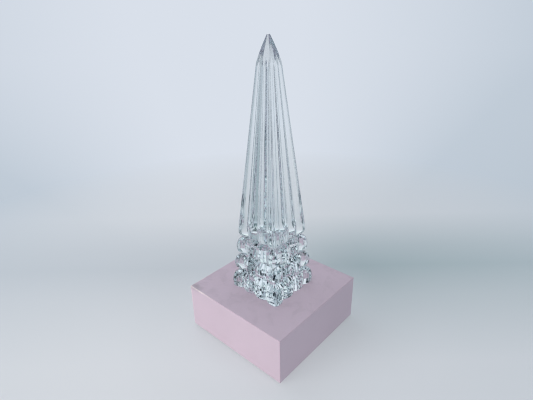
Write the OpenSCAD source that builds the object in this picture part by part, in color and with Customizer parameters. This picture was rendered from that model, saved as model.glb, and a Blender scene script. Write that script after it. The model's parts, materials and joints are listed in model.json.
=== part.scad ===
// Crystal award: a solid cut-crystal obelisk on a painted square plinth.
// Millimetres, +Z up. The origin is the centre of the underside, on the surface the award stands on.

/* [Plinth] */
// Width of the plinth across its flat sides
plinth_w = 120; // [100:1:160]
// Height of the painted box, without its foot pads
plinth_h = 49; // [42:1:70]
// Thickness of the mitred boards
board_t = 9; // [6:0.5:12]
// Thickness of the screwed bottom cover
cover_t = 5; // [3:0.5:6]
// Gap between the bottom cover and the boards around it
cover_gap = 0.2; // [0.1:0.05:0.5]
// Radius of the eased outer edges
edge_r = 0.6; // [0.3:0.1:1.5]

/* [Plinth fittings] */
// Width of the square glue blocks in the corners
block_w = 18; // [16:1:22]
// Outer diameter of the screw thread
screw_d = 3.5; // [3:0.5:4]
// Length of the screws under the head's top
screw_l = 16; // [12:1:20]
// Diameter of the countersunk screw heads
screw_head_d = 7; // [6:0.5:8]
// Diameter of the foot pads
pad_d = 16; // [12:1:20]
// Thickness of the foot pads
pad_t = 1.6; // [1:0.1:3]
// Distance of each foot pad from both centre lines
pad_offset = 30; // [24:1:32]

/* [Crystal] */
// Height of the obelisk
crystal_h = 236.6; // [200:0.1:300]
// Half width of the obelisk over its reeds, at the foot
foot_half = 30.6; // [26:0.1:34]
// Half width over the reeds where the shaft's taper would meet the tip's height
top_half = 5.5; // [4:0.05:9]
// Depth of the notches between the shaft's reeds, as a share of the half width
notch_share = 0.11; // [0.05:0.005:0.13]
// Depth of the notches between the foot's cushions, as a share of the half width
foot_notch_share = 0.09; // [0.05:0.005:0.13]
// How far the rounded corners stand back from the reeds' crests, as a share of the half width
corner_inset = 0.04; // [0.02:0.005:0.08]
// Depth of the grooves that part the rows of cushions
groove_depth = 2.3; // [1.5:0.1:3.5]
// Height over which the reeds round off above the top groove
reed_end = 8; // [6:0.5:14]
// Half width of the small flat on the tip
tip_flat = 0.9; // [0.8:0.1:2]
// Slope of the tip's facets next to that flat
tip_slope = 0.365; // [0.25:0.005:0.5]
// Bulge of the tip's facets per millimetre of height
tip_bulge = 0.0028; // [0.0005:0.0001:0.004]

/* [Adhesive] */
// Diameter of the clear adhesive dots
dot_d = 8; // [6:0.5:12]
// Thickness of the adhesive dots
dot_t = 0.5; // [0.3:0.1:1]
// Distance of each dot from both centre lines
dot_offset = 17; // [12:0.5:20]

/* [Hidden] */
SIDES = ["front", "right", "back", "left"];
CORNERS = [[1, -1], [1, 1], [-1, 1], [-1, -1]];

plinth_top_z = pad_t + plinth_h;
inner_w = plinth_w - 2 * board_t;
crystal_z = plinth_top_z + dot_t;
block_h = plinth_h - board_t - cover_t;
block_offset = inner_w / 2 - block_w / 2;
thread_pitch = 1.6;
thread_depth = 0.5;
thread_gap = 0.02;
neck_flare = 0.2;
recess_l = 3.8;
recess_w = 0.9;
recess_depth = 1.4;
sink_gap = 0.1;
head_h = (screw_head_d - screw_d) / 2;
cover_hole_d = screw_d + 0.5;
reach = 2 * plinth_w;

// Crystal: reeds on each face, flat cuts across each reed, and the heights of the horizontal grooves
reeds = 4;
cuts = 5;
groove_z = [-4, 18.6, 36.2, 56];
reed_foot_z = groove_z[3];
end_steps = 4;
tip_steps = 8;

// Half width of the shaft over its reeds, at height z
function shaft_half(z) = foot_half + (top_half - foot_half) * z / crystal_h;

// Half width of the tip, which its four slightly bulging facets give it, d below its end
function tip_half(d) = tip_flat + tip_slope * d - tip_bulge * d * d;

// Share of the half width that the reeds lose at place s across a face, -1 to 1: rounded crests, sharp
// notches, and corners that two neighbouring faces' outer reeds share
function reed_drop(s, notch) =
    let (place = (s + 1) * reeds / 2, from_crest = 2 * abs(place - floor(place) - 0.5))
    abs(s) > 1 - 1 / reeds
        ? corner_inset * pow(from_crest, (1 - corner_inset) / (reeds * corner_inset))
        : notch * from_crest * from_crest;

// Depth lost to the horizontal grooves at height z: rounded rows of cushions, and rounded reed ends
function groove_cut(z) =
    z >= reed_foot_z + reed_end ? 0 :
    z >= reed_foot_z ? groove_depth * pow(1 - (z - reed_foot_z) / reed_end, 2) :
    let (row = z < groove_z[1] ? 0 : z < groove_z[2] ? 1 : 2)
    groove_depth * pow(2 * (z - groove_z[row]) / (groove_z[row + 1] - groove_z[row]) - 1, 2);

// Half width of reeds and cushions at place s across a face and height z
function body_half(s, z) =
    shaft_half(z) * (1 - reed_drop(s, z < reed_foot_z ? foot_notch_share : notch_share)) - groove_cut(z);

// Distance from the tip's end down to the line where its facet meets the reeds at place s
function tip_depth(s) =
    let (share = 1 - reed_drop(s, notch_share),
         rise = tip_slope - share * (foot_half - top_half) / crystal_h)
    (rise - sqrt(rise * rise - 4 * tip_bulge * (top_half * share - tip_flat))) / (2 * tip_bulge);

// A point of the face that looks along -Y, on reeds or cushions
function body_point(s, z) =
    let (full = shaft_half(z), corner = body_half(1, z), middle = (1 - 1 / reeds) * full,
         out = abs(s) * full,
         across = out > middle ? middle + (out - middle) * (corner - middle) / (full - middle) : out)
    [sign(s) * across, -body_half(s, z), z];

// A point of the same face on the tip's facet, at share t of the way up to the tip's end
function tip_point(s, t) =
    let (depth = tip_depth(s), start = body_point(s, crystal_h - depth),
         d = depth * (1 - t), shrink = tip_half(d) / tip_half(depth))
    [start[0] * shrink, -tip_half(d), crystal_h - d];

function turned(p, side) =
    let (c = cos(90 * side), t = sin(90 * side)) [c * p[0] - t * p[1], t * p[0] + c * p[1], p[2]];

// Heights and shares at even steps, without the end of the span
function between(a, b, steps) = [for (i = [0:steps - 1]) a + (b - a) * i / steps];

face_places = between(-1, 1, reeds * cuts);
body_z = concat(
    [0],
    [for (z = between(groove_z[0], groove_z[1], cuts)) if (z > 0) z],
    between(groove_z[1], groove_z[2], cuts),
    between(groove_z[2], groove_z[3], cuts),
    between(reed_foot_z, reed_foot_z + reed_end, end_steps),
    [reed_foot_z + reed_end]);

// Horizontal rings of points, from the front left corner anticlockwise from above
body_rings = [for (z = body_z) [for (side = [0:3], s = face_places) turned(body_point(s, z), side)]];
tip_rings = [for (t = concat(between(0, 1, tip_steps), [1]))
    [for (side = [0:3], s = face_places) turned(tip_point(s, t), side)]];

module crystal_obelisk() {
    rings = concat(body_rings, tip_rings);
    n = len(rings[0]);
    last = len(rings) - 1;
    foot_centre = len(rings) * n;
    tip_centre = foot_centre + 1;
    color([0.86, 0.92, 0.93, 0.45])
        translate([0, 0, crystal_z])
            polyhedron(
                points = concat([for (r = rings, p = r) p], [[0, 0, 0], [0, 0, crystal_h]]),
                faces = [for (j = [0:n - 1])
                    let (k = (j + 1) % n)
                    each concat(
                        [[foot_centre, j, k], [tip_centre, last * n + k, last * n + j]],
                        [for (i = [0:last - 1])
                            each (i + j) % 2 == 1
                                ? [[i * n + j, (i + 1) * n + k, i * n + k],
                                   [i * n + j, (i + 1) * n + j, (i + 1) * n + k]]
                                : [[i * n + j, (i + 1) * n + j, i * n + k],
                                   [i * n + k, (i + 1) * n + j, (i + 1) * n + k]]])]);
}

module adhesive_dot(i) {
    color([0.9, 0.9, 0.92, 0.5])
        translate([CORNERS[i][0] * dot_offset, CORNERS[i][1] * dot_offset, plinth_top_z])
            cylinder(d = dot_d, h = dot_t, $fn = 48);
}

// Rectangle with rounded corners
module eased_rectangle(a, b) {
    square([a - 2 * edge_r, b], center = true);
    square([a, b - 2 * edge_r], center = true);
    for (x = [-1, 1], y = [-1, 1])
        translate([x * (a / 2 - edge_r), y * (b / 2 - edge_r)]) circle(r = edge_r, $fn = 32);
}

// The plinth's outer shape, with every edge eased
module eased_box() {
    translate([0, 0, pad_t + plinth_h / 2])
        intersection() {
            linear_extrude(height = reach, center = true) eased_rectangle(plinth_w, plinth_w);
            rotate([90, 0, 0]) linear_extrude(height = reach, center = true) eased_rectangle(plinth_w, plinth_h);
            rotate([90, 0, 90]) linear_extrude(height = reach, center = true) eased_rectangle(plinth_w, plinth_h);
        }
}

// Trapezium on edge: full width at the top, one mitre narrower on each side below
module mitred_section() {
    polygon([[-plinth_w / 2, 0], [plinth_w / 2, 0], [inner_w / 2, -board_t], [-inner_w / 2, -board_t]]);
}

module plinth_top() {
    color([0.79, 0.71, 0.76])
        intersection() {
            eased_box();
            translate([0, 0, plinth_top_z]) rotate([90, 0, 0])
                linear_extrude(height = reach, center = true) mitred_section();
            translate([0, 0, plinth_top_z]) rotate([90, 0, 90])
                linear_extrude(height = reach, center = true) mitred_section();
        }
}

// One side board: mitred at both ends and along its top edge
module plinth_side(i) {
    outer = plinth_w / 2;
    inner = inner_w / 2;
    color([0.8, 0.73, 0.79])
        rotate([0, 0, 90 * i])
            intersection() {
                eased_box();
                linear_extrude(height = reach)
                    polygon([[-outer, -outer], [outer, -outer], [inner, -inner], [-inner, -inner]]);
                rotate([90, 0, 90]) linear_extrude(height = reach, center = true)
                    polygon([[-outer, pad_t], [-inner, pad_t],
                             [-inner, plinth_top_z - board_t], [-outer, plinth_top_z]]);
            }
}

module at_corner(i, offset, z) {
    translate([CORNERS[i][0] * offset, CORNERS[i][1] * offset, z]) children();
}

module corner_block(i) {
    color([0.78, 0.66, 0.48])
        at_corner(i, block_offset, pad_t + cover_t)
            difference() {
                translate([-block_w / 2, -block_w / 2, 0]) cube([block_w, block_w, block_h]);
                translate([0, 0, -1])
                    cylinder(d = screw_d + 2 * thread_gap, h = screw_l - cover_t + 2, $fn = 48);
            }
}

module bottom_cover() {
    w = inner_w - 2 * cover_gap;
    color([0.62, 0.5, 0.38])
        difference() {
            translate([-w / 2, -w / 2, pad_t]) cube([w, w, cover_t]);
            for (i = [0:3]) at_corner(i, block_offset, pad_t) {
                translate([0, 0, -1]) cylinder(d = cover_hole_d, h = cover_t + 2, $fn = 48);
                cylinder(d1 = screw_head_d + 2 * sink_gap, d2 = screw_d + 2 * sink_gap, h = head_h, $fn = 48);
            }
        }
}

// Countersunk wood screw, head down, with its thread as rings and a cross recess in its head
module screw() {
    core = screw_d / 2 - thread_depth;
    turns = floor((screw_l - cover_t) / thread_pitch) - 1;
    thread_end = cover_t + turns * thread_pitch;
    ring_profile = [[screw_d / 2, 0.35], [screw_d / 2, 0.5], [core, 0.9]];
    difference() {
        rotate_extrude($fn = 48)
            polygon(concat(
                [[0, 0], [screw_head_d / 2, 0], [core + neck_flare, head_h], [core, cover_t]],
                [for (k = [0:turns - 1], p = ring_profile) [p[0], cover_t + (k + p[1]) * thread_pitch]],
                [[core, thread_end], [0, screw_l]]));
        for (turn = [0, 90])
            rotate([0, 0, turn]) cube([recess_l, recess_w, 2 * recess_depth], center = true);
    }
}

module cover_screws() {
    color([0.75, 0.72, 0.6])
        for (i = [0:3]) at_corner(i, block_offset, pad_t) screw();
}

module foot_pad(i) {
    color([0.25, 0.24, 0.25])
        at_corner(i, pad_offset, 0) cylinder(d = pad_d, h = pad_t, $fn = 64);
}

crystal_obelisk();
for (i = [0:3]) adhesive_dot(i);
plinth_top();
for (i = [0:3]) plinth_side(i);
for (i = [0:3]) corner_block(i);
bottom_cover();
cover_screws();
for (i = [0:3]) foot_pad(i);
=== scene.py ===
"""Crystal award: the looks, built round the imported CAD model. Lengths are metres, as in the frame."""

import json
import math

import bpy
from mathutils import Matrix, Vector


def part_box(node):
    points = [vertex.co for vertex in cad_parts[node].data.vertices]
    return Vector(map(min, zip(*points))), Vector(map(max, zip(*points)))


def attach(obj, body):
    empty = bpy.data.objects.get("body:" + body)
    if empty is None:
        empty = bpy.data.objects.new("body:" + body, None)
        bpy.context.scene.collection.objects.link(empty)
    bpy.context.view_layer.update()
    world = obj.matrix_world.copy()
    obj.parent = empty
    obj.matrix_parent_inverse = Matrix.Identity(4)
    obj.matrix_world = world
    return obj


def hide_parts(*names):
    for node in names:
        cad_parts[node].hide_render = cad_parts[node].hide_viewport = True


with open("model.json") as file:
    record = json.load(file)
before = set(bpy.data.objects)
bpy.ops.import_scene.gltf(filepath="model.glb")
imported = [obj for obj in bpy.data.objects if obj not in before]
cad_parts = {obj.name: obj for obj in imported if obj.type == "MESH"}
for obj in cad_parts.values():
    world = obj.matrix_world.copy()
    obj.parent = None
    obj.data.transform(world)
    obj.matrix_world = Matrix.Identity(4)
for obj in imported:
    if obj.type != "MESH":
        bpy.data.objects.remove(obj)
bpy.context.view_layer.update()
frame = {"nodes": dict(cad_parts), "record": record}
MM = 0.001

# ---------------------------------------------------------------- measurements from the frame
CRYSTAL_LO, CRYSTAL_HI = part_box("crystal_obelisk")
TOP_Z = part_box("plinth_top")[1][2]
HALF_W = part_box("plinth_side_right")[1][0]
BOTTOM_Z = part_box("plinth_side_right")[0][2]

# ---------------------------------------------------------------- crystal cuts, in millimetres
CRYSTAL_H = (CRYSTAL_HI[2] - CRYSTAL_LO[2]) / MM
# Half widths over the reeds: at the foot, and where the taper would meet the tip's height
FOOT_HALF = 30.6
TOP_HALF = 5.5
# Depth of the notches between reeds, and how far the corners stand back, as shares of the half width
NOTCH_SHARE = 0.11
FOOT_NOTCH_SHARE = 0.09
CORNER_INSET = 0.04
# The grooves that part the rows of cushions; the first one lies below the foot, so its row is cut short
GROOVE_DEPTH = 2.3
GROOVES = (-4.0, 18.6, 36.2, 56.0)
# Height over which the reeds round off above the last groove
REED_END = 8.0
# The tip's facets: half width of their small flat, slope and bulge, and how far down they reach
TIP_FLAT = 0.9
TIP_SLOPE = 0.365
TIP_BULGE = 0.0028
TIP_REACH = 27.0
# Reeds on each face, flat cuts across each reed or up each cushion, and smooth steps to each cut
REEDS = 4
CUTS = 5
FINE = 4
# Rings of points up the rounded reed ends, the shaft and the tip
END_STEPS = 5
SHAFT_STEPS = 24
TIP_STEPS = 18

# ---------------------------------------------------------------- adhesive drops
# Sides of the outline, gap to the crystal and the board, and edge as shares of radius and height
DROP_SIDES = 48
DROP_GAP = 0.01 * MM
DROP_PROFILE = [(0.97, 0.0), (1.0, 0.3), (1.0, 0.7), (0.96, 1.0)]

# ---------------------------------------------------------------- camera, in degrees and metres
CAMERA_AZIMUTH = 42.46
CAMERA_ELEVATION = 24.74
CAMERA_ROLL = -1.36
CAMERA_DISTANCE = 0.3797
CAMERA_TARGET = (-0.0062, 0.0, 0.1418)
# Focal length and sensor width, in millimetres
CAMERA_LENS = 27.0
CAMERA_SENSOR = 36.0

# ---------------------------------------------------------------- paint
PAINT = (0.605, 0.485, 0.555)
EDGE_PAINT = (0.60, 0.42, 0.50)
# Pale peach for the edges at the worn corner: primer showing through, and also a painted highlight there.
PRIMER_AND_HIGHLIGHT = (0.78, 0.68, 0.66)
SCUFF = (0.27, 0.24, 0.26)
WORN_AND_HIGHLIT_CORNER = (-HALF_W, -HALF_W, TOP_Z)
SCUFF_CENTRE = (-HALF_W + 6 * MM, -HALF_W + 3 * MM, TOP_Z)

# ---------------------------------------------------------------- stage, in metres and degrees
FLOOR_RADIUS = 4.0
# How far out the floor starts to turn into the sweep and has become it, and its share of glow before
GLOW_START, GLOW_END = 0.16, 0.60
GLOW_SHARE = 0.5
# Directions from the award: behind it, to its right, the sweep's brightest part, the room's dim side
BACK_AZIMUTH = 222.0
RIGHT_AZIMUTH = BACK_AZIMUTH - 90
BRIGHTEST_AZIMUTH = 229.0
DIM_AZIMUTH = 75.0
# The dark card in front: middle direction, half its spread, inner and outer radius, height and colour
FLAG_AZIMUTH = BACK_AZIMUTH - 180
FLAG_SPREAD = 100.0
FLAG_REACH = (0.10, 0.15)
FLAG_Z = 2 * MM
FLAG_COLOUR = (0.02, 0.045, 0.06)
# Softboxes: name, place, the point it faces, size, watts and colour
LIGHTS = [
    ("ceiling", (-0.42, 0.05, 0.62), (0, 0, 0.05), (0.45, 0.45), 0.95, (0.84, 0.90, 1.0)),
    ("window", (-0.35, -1.1, 0.38), (0, 0, 0.1), (0.9, 0.6), 11.5, (1, 1, 1)),
    ("fill", (1.1, 0.1, 0.30), (0, 0, 0.05), (0.6, 0.5), 3.8, (0.84, 0.93, 1.0)),
]


# ================================================================ helpers
def new_object(name, verts, faces, sharp_edges=()):
    """A smooth-shaded mesh object; sharp_edges holds pairs of vertex numbers that keep a crisp line."""
    mesh = bpy.data.meshes.new(name)
    mesh.from_pydata(verts, [], faces)
    mesh.validate()
    mesh.update()
    mesh.polygons.foreach_set("use_smooth", [True] * len(mesh.polygons))
    wanted = {tuple(sorted(pair)) for pair in sharp_edges}
    for edge in mesh.edges:
        if tuple(sorted(edge.vertices)) in wanted:
            edge.use_edge_sharp = True
    obj = bpy.data.objects.new(name, mesh)
    bpy.context.scene.collection.objects.link(obj)
    return obj


class Nodes:
    """Short forms for building one material's node tree."""

    def __init__(self, name):
        self.material = bpy.data.materials.new(name)
        self.material.use_nodes = True
        self.tree = self.material.node_tree
        self.tree.nodes.clear()
        self.output = self.tree.nodes.new("ShaderNodeOutputMaterial")

    def add(self, kind, **settings):
        """A node; a setting that names an input sets it, and the rest set the node's own properties."""
        node = self.tree.nodes.new("ShaderNode" + kind)
        for key, value in settings.items():
            label = key.replace("_", " ").title()
            if label in node.inputs and not hasattr(node, key):
                node.inputs[label].default_value = value
            else:
                setattr(node, key, value)
        return node

    def link(self, source, target):
        self.tree.links.new(source, target)

    def math(self, operation, a, b=0.0):
        """The result of an operation on one or two values, each a number or another node's output."""
        node = self.add("Math", operation=operation)
        for socket, value in zip(node.inputs, (a, b)):
            if isinstance(value, (int, float)):
                socket.default_value = value
            else:
                self.link(value, socket)
        return node.outputs[0]

    def ramp(self, factor, stops):
        """A colour ramp; stops are (position, colour) pairs, where a colour may be one grey number."""
        node = self.add("ValToRGB")
        elements = node.color_ramp.elements
        while len(elements) < len(stops):
            elements.new(0.5)
        for element, (position, colour) in zip(elements, stops):
            element.position = position
            element.color = (colour,) * 3 + (1,) if isinstance(colour, (int, float)) else (*colour, 1)
        self.link(factor, node.inputs["Fac"])
        return node.outputs["Color"]

    def mix(self, factor, a, b, blend="MIX"):
        """Two colours mixed; each value is a number, a colour or another node's output."""
        node = self.add("Mix", data_type="RGBA", blend_type=blend)
        for socket, value in zip((node.inputs[0], node.inputs[6], node.inputs[7]), (factor, a, b)):
            if isinstance(value, (int, float)):
                socket.default_value = value
            elif isinstance(value, tuple):
                socket.default_value = (*value, 1)
            else:
                self.link(value, socket)
        return node.outputs[2]

    def noise(self, scale, detail, roughness, distortion=0.0, vector=None):
        """Cloudy noise between 0 and 1, with about as many cells to a metre as the scale says."""
        node = self.add("TexNoise", scale=scale, detail=detail, roughness=roughness, distortion=distortion)
        self.link(vector or self.coords(), node.inputs["Vector"])
        return node.outputs["Fac"]

    def coords(self):
        """Object coordinates: the frame's metres, because every piece's object sits at the origin."""
        if not hasattr(self, "_coords"):
            self._coords = self.add("TexCoord").outputs["Object"]
        return self._coords

    def scaled(self, scale):
        """Coordinates scaled along each axis, for textures that run along a grain."""
        node = self.add("Mapping", vector_type="POINT")
        node.inputs["Scale"].default_value = scale
        self.link(self.coords(), node.inputs["Vector"])
        return node.outputs["Vector"]

    def dot(self, axis):
        """Distance along a direction, or its cosine where the coordinates are a direction."""
        node = self.add("VectorMath", operation="DOT_PRODUCT")
        self.link(self.coords(), node.inputs[0])
        node.inputs[1].default_value = axis
        return node.outputs["Value"]

    def distance_to(self, point, stretch=(1, 1, 1)):
        """Distance in metres from a point in the frame, with each axis stretched."""
        offset = self.add("VectorMath", operation="SUBTRACT")
        self.link(self.coords(), offset.inputs[0])
        offset.inputs[1].default_value = point
        scaled = self.add("VectorMath", operation="MULTIPLY")
        self.link(offset.outputs[0], scaled.inputs[0])
        scaled.inputs[1].default_value = stretch
        length = self.add("VectorMath", operation="LENGTH")
        self.link(scaled.outputs[0], length.inputs[0])
        return length.outputs["Value"]

    def bump(self, height, distance, strength, normal=None):
        """Relief of a height between 0 and 1 times the distance in metres, on top of another relief."""
        node = self.add("Bump", distance=distance, strength=strength)
        self.link(height, node.inputs["Height"])
        if normal:
            self.link(normal, node.inputs["Normal"])
        return node.outputs["Normal"]

    def principled(self, **values):
        """The surface shader; constants go straight on its sockets, and node outputs are linked."""
        shader = self.add("BsdfPrincipled")
        for key, value in values.items():
            socket = shader.inputs[key.replace("_", " ")]
            if isinstance(value, bpy.types.NodeSocket):
                self.link(value, socket)
            else:
                socket.default_value = (*value, 1) if isinstance(value, tuple) else value
        self.link(shader.outputs[0], self.output.inputs["Surface"])
        return shader


# ================================================================ camera
def camera_axes(azimuth, elevation, roll):
    """The camera's X, Y and Z axes; Z points back, away from what it looks at."""
    a, e, r = (math.radians(v) for v in (azimuth, elevation, roll))
    back = Vector((math.sin(a) * math.cos(e), -math.cos(a) * math.cos(e), math.sin(e)))
    right = Vector((0, 0, 1)).cross(back).normalized()
    up = back.cross(right)
    return math.cos(r) * right + math.sin(r) * up, -math.sin(r) * right + math.cos(r) * up, back


def make_camera():
    """The main view's camera, placed from its direction, roll, distance and target."""
    data = bpy.data.cameras.new("camera")
    data.lens = CAMERA_LENS
    data.sensor_width = CAMERA_SENSOR
    data.clip_start, data.clip_end = 0.01, 20.0
    camera = bpy.data.objects.new("camera", data)
    x, y, z = camera_axes(CAMERA_AZIMUTH, CAMERA_ELEVATION, CAMERA_ROLL)
    place = Vector(CAMERA_TARGET) + CAMERA_DISTANCE * z
    camera.matrix_world = Matrix.Translation(place) @ Matrix((x, y, z)).transposed().to_4x4()
    bpy.context.scene.collection.objects.link(camera)
    bpy.context.scene.camera = camera


# ================================================================ crystal
def shaft_half(z):
    """Reach of the reeds' crests at height z."""
    return FOOT_HALF + (TOP_HALF - FOOT_HALF) * z / CRYSTAL_H


def tip_half(z):
    """Reach of the tip's four facets, which bulge slightly; below them it clears the shaft."""
    d = min(CRYSTAL_H - z, TIP_REACH)
    return TIP_FLAT + TIP_SLOPE * d - TIP_BULGE * d * d + max(CRYSTAL_H - z - TIP_REACH, 0)


def reed_half(s, z):
    """Reach of the reeds at place s across a face: rounded crests, sharp notches and soft corners."""
    from_crest = abs((s + 1) * REEDS / 2 % 1 - 0.5) * 2
    if abs(s) > 1 - 1 / REEDS:
        drop = CORNER_INSET * from_crest ** ((1 - CORNER_INSET) / (REEDS * CORNER_INSET))
    else:
        drop = (FOOT_NOTCH_SHARE if z < GROOVES[-1] else NOTCH_SHARE) * from_crest ** 2
    return shaft_half(z) * (1 - drop)


def body_half(s, z):
    """Reach of reeds, cushions and tip together."""
    reach = reed_half(s, z)
    for low, high in zip(GROOVES, GROOVES[1:]):
        if low <= z <= high:
            reach -= GROOVE_DEPTH * (2 * (z - low) / (high - low) - 1) ** 2
    if GROOVES[-1] <= z <= GROOVES[-1] + REED_END:
        reach -= GROOVE_DEPTH * (1 - (z - GROOVES[-1]) / REED_END) ** 2
    return min(reach, tip_half(z))


def tip_line(s):
    """Height at which the tip's facet meets the reeds at place s across the face."""
    share = reed_half(s, CRYSTAL_H) / TOP_HALF
    rise = TIP_SLOPE - share * (FOOT_HALF - TOP_HALF) / CRYSTAL_H
    depth = (rise - math.sqrt(rise ** 2 - 4 * TIP_BULGE * (TOP_HALF * share - TIP_FLAT))) / (2 * TIP_BULGE)
    return CRYSTAL_H - depth


def face_point(s, z):
    """A point of the face that looks along -Y; faces meet at their shared corner."""
    line = min(z, tip_line(s))
    corner, full = body_half(1.0, line), shaft_half(line)
    middle = (1 - 1 / REEDS) * full
    across = abs(s) * full
    if across > middle:
        across = middle + (across - middle) * (corner - middle) / (full - middle)
    reach = body_half(s, line)
    if z > line:
        across, reach = across * tip_half(z) / reach, tip_half(z)
    return Vector((math.copysign(across, s), -reach, z))


def ring(per_side, height_of):
    """Points round the four faces; height_of gives the height at place s across a face."""
    places = [2 * j / per_side - 1 for j in range(per_side)]
    side = [face_point(s, height_of(s)) for s in places]
    turns = [Matrix.Rotation(k * math.pi / 2, 3, "Z") for k in range(4)]
    return [(turn @ p) * MM + Vector((0, 0, CRYSTAL_LO[2])) for turn in turns for p in side]


def between(low, high, steps):
    """Evenly spaced values from low up to, but not including, high."""
    return [low + (high - low) * i / steps for i in range(steps)]


def cushion_heights():
    """Heights of the flat cuts up the rows of cushions, from the foot to the last groove."""
    heights = []
    for low, high in zip(GROOVES, GROOVES[1:]):
        heights += between(low, high, CUTS)
    return [0.0] + [z for z in heights if z > 0.0]


def crystal_rings():
    """The crystal's rings of points, in three lists: flat-cut cushions, smooth shaft and smooth tip."""
    coarse, fine = REEDS * CUTS, REEDS * CUTS * FINE
    reeds_from = GROOVES[-1] + REED_END
    cushions = [ring(coarse, lambda s, z=z: z) for z in cushion_heights()]
    shaft = [ring(fine, lambda s, z=z: z) for z in between(GROOVES[-1], reeds_from, END_STEPS)]
    shaft += [ring(fine, lambda s, t=t: reeds_from + t * (tip_line(s) - reeds_from))
              for t in between(0.0, 1.0, SHAFT_STEPS)]
    tip = [ring(fine, lambda s, t=t: tip_line(s) + t * (CRYSTAL_H - tip_line(s)))
           for t in between(0.0, 1.0, TIP_STEPS) + [1.0]]
    return cushions, shaft, tip


def cushion_faces(rings, count, foot):
    """The underside's fan round point foot, and flat triangles that slant both ways in turn."""
    faces = [(foot, (j + 1) % count, j) for j in range(count)]
    for i in range(rings - 1):
        for j in range(count):
            a, b = i * count + j, i * count + (j + 1) % count
            if (i + j) % 2:
                faces += [(a, b, b + count), (a, b + count, a + count)]
            else:
                faces += [(a, b, a + count), (b, b + count, a + count)]
    return faces


def seam_faces(base, count):
    """Triangles from the last ring of count points to the first fine ring, which starts at point base."""
    faces, many, half = [], count * FINE, (FINE + 1) // 2
    for j in range(count):
        a, b = base - count + j, base - count + (j + 1) % count
        edge = [base + (j * FINE + k) % many for k in range(FINE + 1)]
        faces += [(a, edge[k + 1], edge[k]) for k in range(half)]
        faces.append((a, b, edge[half]))
        faces += [(b, edge[k + 1], edge[k]) for k in range(half, FINE)]
    return faces


def reed_faces(base, many, shaft_rings, tip_rings, top):
    """Quads up the fine rings, closed round point top, and the point pairs where a crisp line runs."""
    faces, sharp, rings = [], [], shaft_rings + tip_rings
    for i in range(rings - 1):
        on_tip = i >= shaft_rings
        for j in range(many):
            a, b = base + i * many + j, base + i * many + (j + 1) % many
            faces.append((a, b, b + many, a + many))
            is_corner, is_notch = j % (REEDS * CUTS * FINE) == 0, j % (CUTS * FINE) == 0
            if (on_tip and is_corner) or (not on_tip and is_notch and not is_corner):
                sharp.append((a, a + many))
            if i in (0, shaft_rings):
                sharp.append((a, b))
    last = base + (rings - 1) * many
    faces += [(top, last + j, last + (j + 1) % many) for j in range(many)]
    sharp += [(last + j, last + (j + 1) % many) for j in range(many)]
    return faces, sharp


def make_crystal():
    """The obelisk: flat-cut cushions at the foot, smooth reeds above them, and a four-sided tip."""
    cushions, shaft, tip = crystal_rings()
    verts = [p for points in cushions + shaft + tip for p in points]
    foot, top = len(verts), len(verts) + 1
    verts += [Vector((0, 0, CRYSTAL_LO[2])), Vector((0, 0, CRYSTAL_HI[2]))]
    count = len(cushions[0])
    base = len(cushions) * count
    flat = cushion_faces(len(cushions), count, foot) + seam_faces(base, count)
    smooth, sharp = reed_faces(base, len(shaft[0]), len(shaft), len(tip), top)
    crystal = new_object("cut_crystal", verts, flat + smooth, sharp)
    crystal.data.polygons.foreach_set("use_smooth", [False] * len(flat) + [True] * len(smooth))
    return crystal


def crystal_material():
    """Polished crystal: faintly blue-green in the mass, with a trace of polishing haze and waviness."""
    n = Nodes("crystal")
    haze = n.ramp(n.noise(38.0, 4.0, 0.6), [(0.45, 0.0), (0.75, 0.008)])
    tone = n.ramp(n.noise(60.0, 3.0, 0.6), [(0.30, (0.975, 0.995, 0.995)), (0.70, (0.99, 1.0, 1.0))])
    waves = n.bump(n.noise(90.0, 2.0, 0.5), 0.00006, 0.12)
    n.principled(Base_Color=tone, Roughness=haze, IOR=1.545, Transmission_Weight=1.0, Normal=waves)
    tint = n.add("VolumeAbsorption")
    tint.inputs["Color"].default_value = (0.72, 0.91, 0.95, 1)
    tint.inputs["Density"].default_value = 4.0
    n.link(tint.outputs[0], n.output.inputs["Volume"])
    return n.material


# ================================================================ adhesive
def make_adhesive(index):
    """A pressed drop of clear adhesive: a flat disc with a slightly uneven, rounded edge."""
    lo, hi = (Vector(c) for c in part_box(f"adhesive_dot_{index}"))
    centre, radius = (lo + hi) / 2, (hi[0] - lo[0]) / 2
    bottom, thickness = lo[2] + DROP_GAP, hi[2] - lo[2] - 2 * DROP_GAP
    verts, faces = [], []
    for share, height in DROP_PROFILE:
        for k in range(DROP_SIDES):
            angle = 2 * math.pi * k / DROP_SIDES
            uneven = 0.97 + 0.025 * math.sin(3 * angle + index) + 0.005 * math.sin(7 * angle)
            x, y, _ = centre + radius * share * uneven * Vector((math.cos(angle), math.sin(angle), 0))
            verts.append((x, y, bottom + thickness * height))
    for row in range(len(DROP_PROFILE) - 1):
        for k in range(DROP_SIDES):
            a, b = row * DROP_SIDES + k, row * DROP_SIDES + (k + 1) % DROP_SIDES
            faces.append((a, b, b + DROP_SIDES, a + DROP_SIDES))
    faces.append(tuple(reversed(range(DROP_SIDES))))
    faces.append(tuple(range(len(verts) - DROP_SIDES, len(verts))))
    return new_object(f"adhesive_{index}", verts, faces)


def adhesive_material():
    """Clear set adhesive, slightly milky in places, with tiny bubbles."""
    n = Nodes("adhesive")
    milky = n.noise(420.0, 3.0, 0.6)
    colour = n.ramp(milky, [(0.3, (0.90, 0.91, 0.93)), (0.7, (0.98, 0.98, 0.98))])
    roughness = n.ramp(milky, [(0.3, 0.12), (0.7, 0.04)])
    bubbles = n.bump(n.noise(2600.0, 1.0, 0.5), 0.00003, 0.5)
    n.principled(Base_Color=colour, Roughness=roughness, IOR=1.5, Transmission_Weight=1.0, Normal=bubbles)
    return n.material


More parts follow.
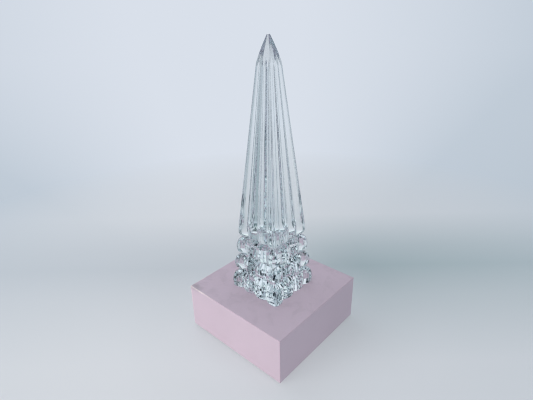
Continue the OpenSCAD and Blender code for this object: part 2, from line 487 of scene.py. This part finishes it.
# ================================================================ painted plinth
def from_edge(n):
    """Millimetres to the plinth's nearest outer edge, and millimetres inside its outer skin."""
    split = n.add("SeparateXYZ")
    n.link(n.coords(), split.inputs[0])
    x, y, z = split.outputs
    aside = n.math("SUBTRACT", HALF_W, n.math("ABSOLUTE", x))
    ahead = n.math("SUBTRACT", HALF_W, n.math("ABSOLUTE", y))
    up = n.math("MINIMUM", n.math("SUBTRACT", TOP_Z, z), n.math("SUBTRACT", z, BOTTOM_Z))
    least, most = n.math("MINIMUM", aside, ahead), n.math("MAXIMUM", aside, ahead)
    edge = n.math("MAXIMUM", least, n.math("MINIMUM", most, up))
    inside = n.math("MINIMUM", least, up)
    return n.math("MULTIPLY", edge, 1 / MM), n.math("MULTIPLY", inside, 1 / MM)


def paint_coat(n):
    """The paint itself: soft clouds and fine speckle all over, and blotches on the top."""
    clouds = n.ramp(n.noise(13.0, 4.0, 0.6), [(0.3, tuple(c * 0.93 for c in PAINT)), (0.7, PAINT)])
    on_top = n.ramp(n.dot((0, 0, 1 / TOP_Z)), [(0.985, 0.0), (0.999, 1.0)])
    blotches = n.ramp(n.noise(55.0, 5.0, 0.65, 0.8), [(0.36, 0.91), (0.50, 1.0)])
    blotches = n.mix(on_top, (1.0, 1.0, 1.0), blotches)
    speckle = n.ramp(n.noise(1500.0, 2.0, 0.6), [(0.30, 0.94), (0.70, 1.04)])
    return n.mix(1.0, n.mix(1.0, clouds, blotches, "MULTIPLY"), speckle, "MULTIPLY")


def edge_wear_and_highlight(n, colour, edge):
    """Chafing along every edge, and a pale peach line along the edges at one corner: partly primer showing
    through, partly a painted highlight.
    """
    ragged = n.math("ADD", edge, n.math("MULTIPLY", n.noise(240.0, 5.0, 0.7), -2.6))
    chafed = n.ramp(n.math("ADD", ragged, 1.0), [(0.0, 1.0), (0.45, 0.0)])
    colour = n.mix(n.math("MULTIPLY", chafed, 0.35), colour, EDGE_PAINT)
    worn = n.ramp(n.distance_to(WORN_AND_HIGHLIT_CORNER), [(10 * MM, 1.0), (40 * MM, 0.0)])
    # Pale peach along the edges near the corner: partly primer showing through, partly a painted highlight
    # where these edges catch the light.
    rub_and_painted_highlight = n.ramp(n.math("ADD", ragged, 0.7), [(0.0, 1.0), (0.35, 0.0)])
    return n.mix(n.math("MULTIPLY", rub_and_painted_highlight, worn), colour, PRIMER_AND_HIGHLIGHT)


def corner_scuff(n, colour):
    """A dark scuff with a ragged outline on the top, at the worn corner."""
    from_centre = n.distance_to(SCUFF_CENTRE, (0.7, 1.3, 1.0))
    outline = n.math("ADD", from_centre, n.math("MULTIPLY", n.noise(220.0, 5.0, 0.7), 10 * MM))
    scuff = n.ramp(outline, [(5.2 * MM, 1.0), (12.4 * MM, 0.0)])
    return n.mix(n.math("MULTIPLY", scuff, 0.68), colour, SCUFF)


def paint_material():
    """Matte lilac-pink paint over finely pebbled fibreboard, which stays bare inside the plinth."""
    n = Nodes("painted_board")
    edge, inside = from_edge(n)
    colour = corner_scuff(n, edge_wear_and_highlight(n, paint_coat(n), edge))
    fibre = n.ramp(n.noise(900.0, 3.0, 0.6), [(0.3, (0.30, 0.20, 0.12)), (0.7, (0.46, 0.33, 0.21))])
    bare = n.ramp(inside, [(0.6, 0.0), (0.9, 1.0)])
    roughness = n.ramp(n.noise(45.0, 3.0, 0.6), [(0.3, 0.58), (0.7, 0.74)])
    pebbles = n.bump(n.noise(520.0, 2.0, 0.5), 0.00010, 0.6)
    grain = n.bump(n.noise(2200.0, 2.0, 0.6), 0.00004, 0.5, pebbles)
    n.principled(Base_Color=n.mix(bare, colour, fibre), Roughness=roughness, Normal=grain)
    return n.material


# ================================================================ plinth's underside and inside
def hardboard_material():
    """Pressed brown fibre: fine flecks, faint darker clouds and a slightly burnished face."""
    n = Nodes("cover_board")
    fibres = n.noise(1.0, 4.0, 0.65, 0.4, n.scaled((420.0, 1100.0, 420.0)))
    base = n.ramp(fibres, [(0.30, (0.15, 0.085, 0.045)), (0.55, (0.27, 0.165, 0.09)),
                           (0.75, (0.38, 0.25, 0.15))])
    clouds = n.ramp(n.noise(26.0, 3.0, 0.6), [(0.3, 0.82), (0.7, 1.0)])
    colour = n.mix(1.0, base, clouds, "MULTIPLY")
    roughness = n.ramp(fibres, [(0.3, 0.66), (0.7, 0.50)])
    n.principled(Base_Color=colour, Roughness=roughness, Normal=n.bump(fibres, 0.00008, 0.6))
    return n.material


def softwood_material():
    """Planed pine: growth rings that show as stripes along the block, and fine pores."""
    n = Nodes("glue_block")
    rings = n.noise(1.0, 2.0, 0.5, 0.6, n.scaled((240.0, 90.0, 9.0)))
    pores = n.noise(1.0, 3.0, 0.6, 0.0, n.scaled((1800.0, 1800.0, 60.0)))
    base = n.ramp(rings, [(0.34, (0.62, 0.43, 0.22)), (0.50, (0.52, 0.33, 0.15)),
                          (0.56, (0.34, 0.18, 0.07)), (0.60, (0.60, 0.41, 0.21))])
    flecks = n.ramp(pores, [(0.3, 0.80), (0.6, 1.0)])
    colour = n.mix(1.0, base, flecks, "MULTIPLY")
    roughness = n.ramp(rings, [(0.3, 0.55), (0.7, 0.70)])
    grain = n.bump(n.math("ADD", rings, pores), 0.00008, 0.6)
    n.principled(Base_Color=colour, Roughness=roughness, Normal=grain)
    return n.material


def zinc_material():
    """Yellow zinc plating with small scratches and a duller film in places."""
    n = Nodes("screw_metal")
    film = n.noise(600.0, 3.0, 0.6)
    scratches = n.noise(1.0, 2.0, 0.7, 0.0, n.scaled((5200.0, 700.0, 5200.0)))
    colour = n.ramp(film, [(0.3, (0.52, 0.43, 0.22)), (0.7, (0.78, 0.65, 0.36))])
    dullness = n.math("MULTIPLY", n.math("ADD", film, scratches), 0.5)
    roughness = n.ramp(dullness, [(0.35, 0.22), (0.65, 0.42)])
    relief = n.bump(scratches, 0.00002, 0.5)
    n.principled(Base_Color=colour, Metallic=1.0, Roughness=roughness, Normal=relief)
    return n.material


def felt_material():
    """Dense dark felt: matted fibres with a soft sheen."""
    n = Nodes("pad_felt")
    fibres = n.noise(1.0, 5.0, 0.75, 1.5, n.scaled((1600.0, 1600.0, 900.0)))
    colour = n.ramp(fibres, [(0.35, (0.020, 0.020, 0.022)), (0.70, (0.085, 0.083, 0.085))])
    n.principled(Base_Color=colour, Roughness=0.95, Sheen_Weight=0.4, Sheen_Roughness=0.5,
                 Normal=n.bump(fibres, 0.00025, 0.9))
    return n.material


# ================================================================ stage and light
def direction(azimuth):
    """A level unit vector; azimuth 0 points along -Y and grows towards +X."""
    a = math.radians(azimuth)
    return (math.sin(a), -math.cos(a), 0)


def circle(radius, height, steps):
    """Points of a level circle round the Z axis."""
    angles = [2 * math.pi * k / steps for k in range(steps)]
    return [(radius * math.cos(a), radius * math.sin(a), height) for a in angles]


def backdrop_colour(n):
    """The sweep's own light by direction from the award: even, and a little darker round the sides."""
    flat = n.add("VectorMath", operation="MULTIPLY")
    n.link(n.coords(), flat.inputs[0])
    flat.inputs[1].default_value = (1, 1, 0)
    unit = n.add("VectorMath", operation="NORMALIZE")
    n.link(flat.outputs[0], unit.inputs[0])
    facing = n.add("VectorMath", operation="DOT_PRODUCT")
    n.link(unit.outputs[0], facing.inputs[0])
    facing.inputs[1].default_value = direction(BRIGHTEST_AZIMUTH)
    return n.ramp(facing.outputs["Value"], [(0.0, (0.44, 0.51, 0.58)), (0.72, (0.53, 0.60, 0.68)),
                                            (0.98, (0.695, 0.745, 0.825))])


def floor_material():
    """Pale paper with a soft grey painted shadow behind the award and to its right; further out it turns
    into the glowing sweep.
    """
    n = Nodes("floor")
    # Half a metre is added to both distances, so that the ramps reach to either side of the award.
    behind = n.math("ADD", n.dot(direction(BACK_AZIMUTH)), 0.5)
    aside = n.math("ADD", n.dot(direction(RIGHT_AZIMUTH)), 0.5)
    # Painted shadow: a soft grey stripe, darkest about a tenth of a metre behind the award, and darker,
    # bluer paper to its right.
    painted_shadow_band = n.ramp(behind, [(0.44, 0.0), (0.54, 0.45), (0.60, 0.85), (0.65, 0.65), (0.75, 0.0)])
    paper = n.mix(n.ramp(aside, [(0.40, 0.0), (0.70, 1.0)]), (0.74, 0.735, 0.75), (0.64, 0.66, 0.695))
    painted_shade = n.mix(n.ramp(aside, [(0.45, 0.0), (0.62, 1.0)]), (0.53, 0.57, 0.61), (0.345, 0.435, 0.465))
    lit = n.principled(Base_Color=n.mix(painted_shadow_band, paper, painted_shade), Roughness=0.95)
    away = n.distance_to((0, 0, 0))
    # The glow near the award carries the same painted shadow.
    near_glow_with_painted_shadow = n.mix(painted_shadow_band, (0.66, 0.69, 0.725), painted_shade)
    glow = n.add("Emission")
    n.link(n.mix(n.ramp(away, [(GLOW_START, 0.0), (GLOW_END, 1.0)]), near_glow_with_painted_shadow, backdrop_colour(n)),
           glow.inputs["Color"])
    blend = n.add("MixShader")
    n.link(n.ramp(away, [(GLOW_START, GLOW_SHARE), (GLOW_END, 1.0)]), blend.inputs[0])
    n.link(lit.outputs[0], blend.inputs[1])
    n.link(glow.outputs[0], blend.inputs[2])
    n.link(blend.outputs[0], n.output.inputs["Surface"])
    return n.material


def make_floor():
    """A wide round floor: a disc under the award and a ring round it."""
    turns, disc_radius = 96, 0.5
    verts = circle(disc_radius, 0, turns) + circle(FLOOR_RADIUS, 0, turns) + [(0, 0, 0)]
    faces = [(2 * turns, k, (k + 1) % turns) for k in range(turns)]
    faces += [(k, turns + k, turns + (k + 1) % turns, (k + 1) % turns) for k in range(turns)]
    floor = new_object("floor", verts, faces)
    floor.data.materials.append(floor_material())


def make_dome():
    """The sweep's upper part, which only the camera sees."""
    rows, turns = 24, 64
    verts, faces = [], []
    for i in range(rows):
        angle = math.pi / 2 * i / (rows - 1)
        verts += circle(FLOOR_RADIUS * math.cos(angle), FLOOR_RADIUS * math.sin(angle), turns)
    for i in range(rows - 1):
        for k in range(turns):
            a, b = i * turns + k, i * turns + (k + 1) % turns
            faces.append((a, b, b + turns, a + turns))
    dome = new_object("backdrop_dome", verts, faces)
    n = Nodes("backdrop_dome")
    glow = n.add("Emission")
    n.link(backdrop_colour(n), glow.inputs["Color"])
    n.link(glow.outputs[0], n.output.inputs["Surface"])
    dome.data.materials.append(n.material)
    dome.visible_diffuse = dome.visible_glossy = dome.visible_transmission = False
    dome.visible_volume_scatter = dome.visible_shadow = False


def make_flag():
    """A dark card in front of the award that only the glass sees; it gives the reeds their dark lines."""
    steps = 24
    azimuths = [FLAG_AZIMUTH + FLAG_SPREAD * (2 * k / steps - 1) for k in range(steps + 1)]
    verts = [Vector(direction(a)) * r + Vector((0, 0, FLAG_Z)) for r in FLAG_REACH for a in azimuths]
    faces = [(k, k + 1, steps + 2 + k, steps + 1 + k) for k in range(steps)]
    flag = new_object("dark_flag", verts, faces)
    n = Nodes("dark_flag")
    n.principled(Base_Color=FLAG_COLOUR, Roughness=1.0)
    flag.data.materials.append(n.material)
    flag.visible_camera = flag.visible_diffuse = flag.visible_shadow = flag.visible_volume_scatter = False


def make_light(name, place, target, size, power, colour):
    """A softbox that lights the pieces, but does not show itself in the glass."""
    data = bpy.data.lights.new(name, "AREA")
    data.shape = "RECTANGLE"
    data.size, data.size_y = size
    data.energy = power
    data.color = colour
    light = bpy.data.objects.new(name, data)
    light.location = place
    light.rotation_euler = (Vector(target) - Vector(place)).to_track_quat("-Z", "Y").to_euler()
    light.visible_camera = light.visible_glossy = light.visible_transmission = False
    bpy.context.scene.collection.objects.link(light)


class WorldNodes(Nodes):
    """The same short forms on the world's node tree."""

    def __init__(self, world):
        world.use_nodes = True
        self.tree = world.node_tree
        self.tree.nodes.clear()
        self.output = self.tree.nodes.new("ShaderNodeOutputWorld")

    def coords(self):
        if not hasattr(self, "_coords"):
            self._coords = self.add("TexCoord").outputs["Generated"]
        return self._coords


def make_world():
    """What the glass sees: a pale sweep behind, a dark front, and lamps overhead, dimmer on one side."""
    world = bpy.data.worlds.new("world")
    n = WorldNodes(world)
    level = n.ramp(n.dot(direction(BACK_AZIMUTH)),
                   [(0.0, (0.04, 0.06, 0.07)), (0.25, (0.10, 0.16, 0.18)), (0.42, (0.84, 0.94, 0.97))])
    overhead = n.ramp(n.noise(3.4, 1.0, 0.5, 1.7),
                      [(0.42, (0.002, 0.008, 0.015)), (0.44, (0.37, 0.43, 0.50)),
                       (0.52, (0.60, 0.67, 0.72)), (0.54, (0.83, 0.88, 0.965))])
    high = n.ramp(n.dot((0, 0, 1)), [(0.30, 0.0), (0.50, 1.0)])
    dimmer = n.ramp(n.dot(direction(DIM_AZIMUTH)), [(0.0, 1.0), (0.7, 0.5)])
    light = n.mix(high, level, n.mix(1.0, overhead, dimmer, "MULTIPLY"))
    background = n.add("Background")
    n.link(light, background.inputs["Color"])
    n.link(background.outputs[0], n.output.inputs["Surface"])
    bpy.context.scene.world = world


def set_light_paths():
    """Enough bounces for the crystal's inner reflections, plain colours, and a crisp, denoised picture."""
    scene = bpy.context.scene
    scene.view_settings.view_transform = "Standard"
    scene.cycles.max_bounces = 24
    scene.cycles.transmission_bounces = 24
    scene.cycles.glossy_bounces = 12
    scene.cycles.use_denoising = True
    scene.cycles.filter_width = 1.1


# ================================================================ build
make_camera()
make_floor()
make_dome()
make_flag()
make_world()
for settings in LIGHTS:
    make_light(*settings)
set_light_paths()

crystal = make_crystal()
crystal.data.materials.append(crystal_material())
# Blender's shadow of solid glass is fully dark, unlike a real crystal's, so the crystal casts none.
crystal.visible_shadow = False
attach(crystal, "root")
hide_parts("crystal_obelisk")

adhesive = adhesive_material()
for index in range(1, 5):
    dot = make_adhesive(index)
    dot.data.materials.append(adhesive)
    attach(dot, "root")
    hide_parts(f"adhesive_dot_{index}")

FINISHES = {
    "painted_board": paint_material(),
    "cover_board": hardboard_material(),
    "glue_block": softwood_material(),
    "screw_metal": zinc_material(),
    "pad_felt": felt_material(),
}
for part in frame["record"]["subparts"]:
    if part["material_slot"] in FINISHES:
        frame["nodes"][part["node"]].material_slots[0].material = FINISHES[part["material_slot"]]
